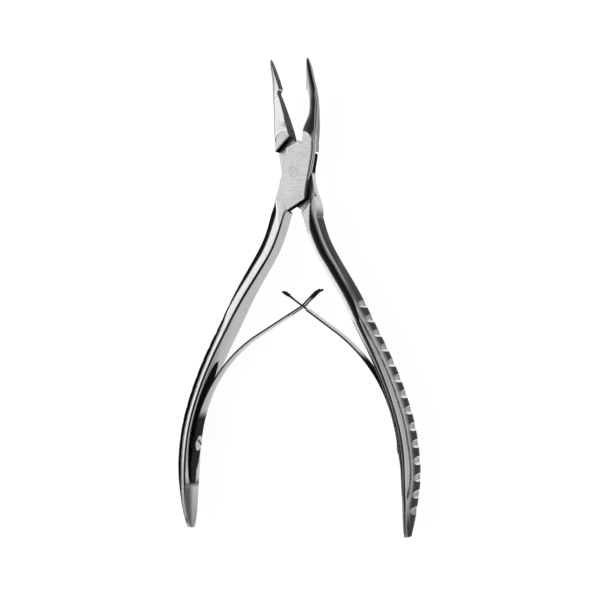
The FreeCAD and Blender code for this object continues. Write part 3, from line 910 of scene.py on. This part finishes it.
def handle_group():
    inputs = [("Outward", "Float", 1.0), ("Across", "Float", 0.0), ("Line Start", "Float", 0.3),
              ("Line End", "Float", 0.7), ("Crown Shade", "Float", 0.5), ("Inner Line Start", "Float", 0.0)]
    outputs = [("Inner Side", "Float"), ("Groove", "Float"), ("Dark", "Float")]
    group, given, out = new_group("handle_zones", inputs, outputs)
    at, up, outside = looks(group, given["Outward"])
    y, across, shade = at["Y"], given["Across"], given["Crown Shade"]
    on_handle, on_top = fade(group, y, *handle_start), fade(group, up, *top_look)
    inner_side = all_of(group, on_handle, fade(group, outside, *inner_look))
    # channel, crown_line, crown, end_inner, end_shade and inner_line are painted shade.
    channel = all_of(group, fade(group, outside, *channel_look), fade(group, across, *channel_edge),
                     fade(group, y, *channel_start), fade(group, y, *channel_end))
    crown_line = all_of(group, on_handle, fade(group, outside, *crown_line_look),
                        band(group, up, given["Line Start"], given["Line End"], line_softness))
    hollow = use(group, dark_corners, Reach=groove_reach, Low=groove_low, High=groove_high)["Mask"]
    # groove marks the finger grooves, which get a painted highlight and lose the crown's painted shade.
    groove = all_of(group, on_handle, fade(group, outside, *groove_look), fade(group, y, *groove_end),
                    hollow)
    slanted = calc(group, "ADD", outside, fade(group, y, *upper_slope))
    crown = all_of(group, on_handle, fade(group, slanted, *crown_look), shade,
                   mixed(group, groove, 1.0, groove_share))
    end_inner = all_of(group, inner_side, fade(group, y, *end_inner_start),
                       fade(group, at["Z"], *end_inner_rise))
    end_shade = all_of(group, fade(group, y, *end_start, 0.0, shade),
                       mixed(group, on_top, 1.0, end_top_share))
    start = given["Inner Line Start"]
    inner_line = all_of(group, on_handle, on_top, band(group, across, *edge_line), edge_line_shade,
                        fade(group, y, start, calc(group, "SUBTRACT", start, edge_line_fade)))
    link(group, inner_side, out["Inner Side"])
    link(group, groove, out["Groove"])
    link(group, strongest(group, crown_line, all_of(group, channel, channel_shade), crown, end_inner,
                          end_shade, inner_line), out["Dark"])
    return group


handle_zones = handle_group()
print("group:", handle_zones.name)

# %% [markdown]
# ### Zones of the jaws
#
# The inner sides of the jaws, where the cups meet, get painted shade. Towards its tip a jaw's top gets a
# painted highlight. Jaw Shade says how much painted shade covers the rest of it: on the front lever it
# stands for the shade of the room's dark band, and on the rear lever it is 0.

# %% Jaw zones
inside_look, inside_start, inside_shade = (0.5, 0.8), (8.6, 9.4), 0.9
land_look, land_start, past_satin = (0.8, 0.9), (8.0, 9.0), (0.3, 0.7)
across_tone, root_tone = (-1.2, 0.3, 0.0, 0.92), (19.0, 13.0, 0.0, 0.75)
jaw_start, jaw_highlight_start = (10.0, 12.0), (20.5, 22.0)
ridge_look, ridge_low_look, ridge_high_look = (0.0, -0.2), (0.3, 0.42), (0.92, 0.85)
side_look, side_shade = (-0.3, -0.5), 0.35


def jaw_group():
    inputs = [("Outward", "Float", 1.0), ("Polished", "Float", 0.0), ("Across Jaw", "Float", 0.0),
              ("Jaw Shade", "Float", 0.0)]
    group, given, out = new_group("jaw_zones", inputs,
                                  [("Inside", "Float"), ("Light", "Float"), ("Dark", "Float")])
    at, up, outside = looks(group, given["Outward"])
    y, on_top = at["Y"], fade(group, up, *land_look)
    # inside, land, side and ridge are painted shade; the top near the tip gets a painted highlight as
    # Light.
    inside = all_of(group, fade(group, y, *inside_start), fade(group, outside, *inside_look))
    tone = strongest(group, fade(group, given["Across Jaw"], *across_tone), fade(group, y, *root_tone))
    land = all_of(group, fade(group, given["Polished"], *past_satin), fade(group, y, *land_start), on_top,
                  tone)
    on_jaw = fade(group, y, *jaw_start)
    ridge = all_of(group, on_jaw, fade(group, outside, *ridge_look), fade(group, up, *ridge_low_look),
                   fade(group, up, *ridge_high_look))
    side = all_of(group, on_jaw, fade(group, outside, *side_look), side_shade)
    link(group, inside, out["Inside"])
    link(group, all_of(group, fade(group, y, *jaw_highlight_start), on_top), out["Light"])
    link(group, strongest(group, all_of(group, given["Jaw Shade"], strongest(group, land, side, ridge)),
                          all_of(group, inside, inside_shade)), out["Dark"])
    return group


jaw_zones = jaw_group()
print("group:", jaw_zones.name)

# %% [markdown]
# ### From masks to steel
#
# The shader that all the pieces share is plain metal, and its grey is what it reflects. Where a mask
# paints shade over the steel, or darkens it, the metal is turned off as well, because a metal that is
# only made darker would still mirror the white floor at a flat angle.

# %% Steel tools
streak_depth, grain_depth, scratch_depth = 0.004, 0.001, 0.003


def new_steel(name):
    steel = bpy.data.materials.new(name)
    steel.use_nodes = True
    shader = steel.node_tree.nodes["Principled BSDF"]
    shader.inputs["Specular IOR Level"].default_value = 0.0
    return steel, steel.node_tree, shader


def finish_steel(tree, shader, value, rough, dark):
    """Grey and gloss of the bare steel, which is dull where the dark share is 1."""
    grey = node(tree, "CombineColor", Red=value, Green=value, Blue=value)
    link(tree, grey.outputs[0], shader.inputs["Base Color"])
    link(tree, rough, shader.inputs["Roughness"])
    link(tree, mixed(tree, dark, 1.0, 0.0), shader.inputs["Metallic"])


def bumps(tree, shader, layers, normal=None):
    """Stacks (height, depth in mm) layers into one bumped normal, over the given one."""
    for height, depth in layers:
        bump = node(tree, "Bump", Height=height, Strength=1.0, Distance=depth * mm)
        if normal is not None:
            link(tree, normal, bump.inputs["Normal"])
        normal = bump.outputs[0]
    link(tree, normal, shader.inputs["Normal"])


def dress(node_name, steel):
    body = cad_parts[node_name]
    body.data.materials.clear()
    body.data.materials.append(steel)


print("grinding lines, depth in mm:", streak_depth)

# %% [markdown]
# ### Marks on a lever
#
# Grinding lines run across the lever and show only on the ground faces. The polish has its fine grain
# everywhere, and two fields of scratches cross each other. The squeeze says how far a streak is drawn
# out along each axis: a small number makes it long.

# %% Lever marks
line_squeeze, line_scale = (0.12, 2.2, 1.0), 1.6
grain_squeeze, grain_scale = (1.0, 3.0, 0.3), 2.0
scratch_fields = ((0.5, 1.3, 0.012), (-1.1, 1.7, 0.01))


def lever_marks(tree, spot, ground):
    """Grinding lines, grain and scratches, each as a height from 0 to 1."""
    lines = use(tree, streaks, Place=spot, Squeeze=line_squeeze, Scale=line_scale)["Height"]
    grain = use(tree, streaks, Place=spot, Squeeze=grain_squeeze, Scale=grain_scale)["Height"]
    fields = [use(tree, scratches, Place=spot, Angle=angle, Scale=scale, Width=width)
              for angle, scale, width in scratch_fields]
    return calc(tree, "MULTIPLY", lines, ground), grain, strongest(tree, *[f["Mask"] for f in fields])


print("scratch fields:", len(scratch_fields))

# %% [markdown]
# ### The levers
#
# Both levers are made of the same steel, and only a few numbers differ: one leans to the light and the
# other away from it, so each gets its own painted shade. The zones choose the tone, the painted shade
# goes over it, and the marks of work and use come last.

# %% Lever steel
polished_grey, ground_grey, brushed_grey, wall_grey = 0.52, 0.92, 0.5, 0.4
# Greys of the painted highlights on the finger grooves and on the tops of the jaws' tips.
groove_highlight_grey, jaw_highlight_grey = 0.85, 0.85
# Greys of the painted shade, a little lighter inside the jaws, and the share of painted shade in corners.
painted_shade_grey, jaw_inside_shade_grey, corner_shade = 0.008, 0.055, 0.95
polished_rough, ground_rough, brushed_rough = 0.08, 0.36, 0.34
smudge_rough, scratch_rough = 0.04, 0.1
line_tone, grain_tones, scratch_tone = 0.84, (1.05, 0.86), 0.78


def lever_steel(name, outward, jaw_level, line_start, line_end, crown_shade, jaw_shade, inner_line_start):
    steel, tree, shader = new_steel(name)
    at = use(tree, place)
    rolled = use(tree, crowned, Place=at["Place"], Facing=at["Facing"], Outward=outward,
                 Jaw_Level=jaw_level)
    joint = use(tree, joint_zones, Outward=outward, Polished=rolled["Polished"])
    handle = use(tree, handle_zones, Outward=outward, Across=rolled["Across"], Line_Start=line_start,
                 Line_End=line_end, Crown_Shade=crown_shade, Inner_Line_Start=inner_line_start)
    jaw = use(tree, jaw_zones, Outward=outward, Polished=rolled["Polished"],
              Across_Jaw=rolled["Across Jaw"], Jaw_Shade=jaw_shade)
    # Painted shade in corners and gaps, left out in the finger grooves.
    corner = use(tree, dark_corners, Reach=1.1 * mm, Low=0.5, High=0.72)["Mask"]
    # dark is the painted shade of all the zones and of the corners.
    dark = strongest(tree, joint["Dark"], handle["Dark"], jaw["Dark"],
                     all_of(tree, corner, mixed(tree, handle["Groove"], corner_shade, 0.0)))
    value = mixed(tree, joint["Ground"], polished_grey, ground_grey)
    for share, tone in ((handle["Inner Side"], brushed_grey), (joint["Wall"], wall_grey),
                        (handle["Groove"], groove_highlight_grey), (jaw["Light"], jaw_highlight_grey),
                        (dark, mixed(tree, jaw["Inside"], painted_shade_grey, jaw_inside_shade_grey))):
        value = mixed(tree, share, value, tone)
    lines, grain, marks = lever_marks(tree, at["Place"], joint["Ground"])
    value = all_of(tree, value, mixed(tree, lines, 1.0, line_tone), mixed(tree, grain, *grain_tones),
                   mixed(tree, marks, 1.0, scratch_tone))
    smudge = use(tree, smudges, Place=at["Place"], Scale=0.22)["Mask"]
    rough = mixed(tree, joint["Ground"], polished_rough, ground_rough)
    rough = mixed(tree, handle["Inner Side"], rough, brushed_rough)
    rough = calc(tree, "ADD", rough, calc(tree, "MULTIPLY", smudge, smudge_rough))
    rough = calc(tree, "ADD", rough, calc(tree, "MULTIPLY", marks, scratch_rough))
    finish_steel(tree, shader, value, rough, dark)
    bumps(tree, shader, ((lines, streak_depth), (grain, grain_depth),
                         (calc(tree, "MULTIPLY", marks, -1.0), scratch_depth)), rolled["Normal"])
    return steel


# crown_shade, jaw_shade and the line limits set how much painted shade each lever gets.
front_steel = lever_steel("front_lever_steel", outward=-1.0, jaw_level=0.6, line_start=0.3, line_end=0.78,
                          crown_shade=0.3, jaw_shade=0.97, inner_line_start=-2.0)
rear_steel = lever_steel("rear_lever_steel", outward=1.0, jaw_level=3.4, line_start=0.6, line_end=0.66,
                         crown_shade=0.9, jaw_shade=0.0, inner_line_start=-44.0)
dress("front_lever", front_steel)
dress("rear_lever", rear_steel)
print("levers dressed in:", front_steel.name, rear_steel.name)

# %% [markdown]
# ### Steel of the small pieces
#
# The rivet's ends are ground flush with the satin joint, and the screws and leaves are polished. One
# function serves them all, as they need no zones, and their corners get painted shade. A leaf is
# darkened along its narrow edges, and it gets painted shade at its end and on its seat, which starts at
# foot_start along the lever.

# %% Small steel
leaf_end = -36.4
# Grey of the painted shade and of the darkened edges, and the share of painted shade in corners.
small_dark_and_shade_grey, small_smudge_rough, small_corner_shade = 0.02, 0.06, 0.7


def small_steel(name, value, rough, edge_darkening=0.0, foot_shade=0.0, foot_start=-66.0):
    steel, tree, shader = new_steel(name)
    at = use(tree, place)
    edge = fade(tree, calc(tree, "ABSOLUTE", at["Facing Z"]), 0.4, 0.8)
    foot = strongest(tree, fade(tree, at["Y"], foot_start, foot_start - 3.0),
                     fade(tree, at["Y"], leaf_end, leaf_end + 1.0))
    grain = use(tree, streaks, Place=at["Place"], Squeeze=(1.0, 1.0, 4.0), Scale=1.5)["Height"]
    smudge = use(tree, smudges, Place=at["Place"], Scale=0.3)["Mask"]
    corner = use(tree, dark_corners, Reach=1.2 * mm, Low=0.25, High=0.8)["Mask"]
    # Painted shade in corners, on a leaf's seat and at its end, with the darkened narrow edges.
    dark_and_shade = strongest(tree, all_of(tree, edge, edge_darkening), all_of(tree, foot, foot_shade),
                      all_of(tree, corner, small_corner_shade))
    tone = all_of(tree, mixed(tree, dark_and_shade, value, small_dark_and_shade_grey), mixed(tree, grain, 1.05, 0.85))
    rough = calc(tree, "ADD", rough, calc(tree, "MULTIPLY", smudge, small_smudge_rough))
    finish_steel(tree, shader, tone, rough, dark_and_shade)
    bumps(tree, shader, ((grain, grain_depth),))
    return steel


print("grey of grime:", small_dark_and_shade_grey)

# %% [markdown]
# ### Rivet and screws
#
# The rivet is the joint's axle, hammered over at both ends and ground flush. It blurs as much as the
# satin round it, so that only its ring shows. The screws are small, bright and rounder, and darker
# than the lands because they mirror the dark bands.

# %% Rivet and screws
rivet_grey, rivet_rough = 0.82, 0.38
screw_grey, screw_rough = 0.5, 0.12
dress("pivot_rivet", small_steel("rivet_end_steel", rivet_grey, rivet_rough))
for name in ("left_spring_screw", "right_spring_screw"):
    dress(name, small_steel("steel_" + name, screw_grey, screw_rough))
    print("dressed:", name)

# %% [markdown]
# ### Leaves
#
# Spring steel is polished on its faces, and its narrow edges are darkened. The seat of each leaf gets
# painted shade, further up on the right one, which the camera sees from its inner side.

# %% Leaves
leaf_grey, leaf_rough = 0.4, 0.14
# Shares of the darkened edges and of the painted shade on the seat and at the end.
leaf_edge_darkening, leaf_foot_shade = 0.95, 0.98
left_foot_start, right_foot_start = -68.0, -50.5
for leaf, foot_start in ((left_leaf, left_foot_start), (right_leaf, right_foot_start)):
    leaf.data.materials.append(small_steel("steel_" + leaf.name, leaf_grey, leaf_rough, leaf_edge_darkening,
                                           leaf_foot_shade, foot_start))
    print("dressed:", leaf.name)
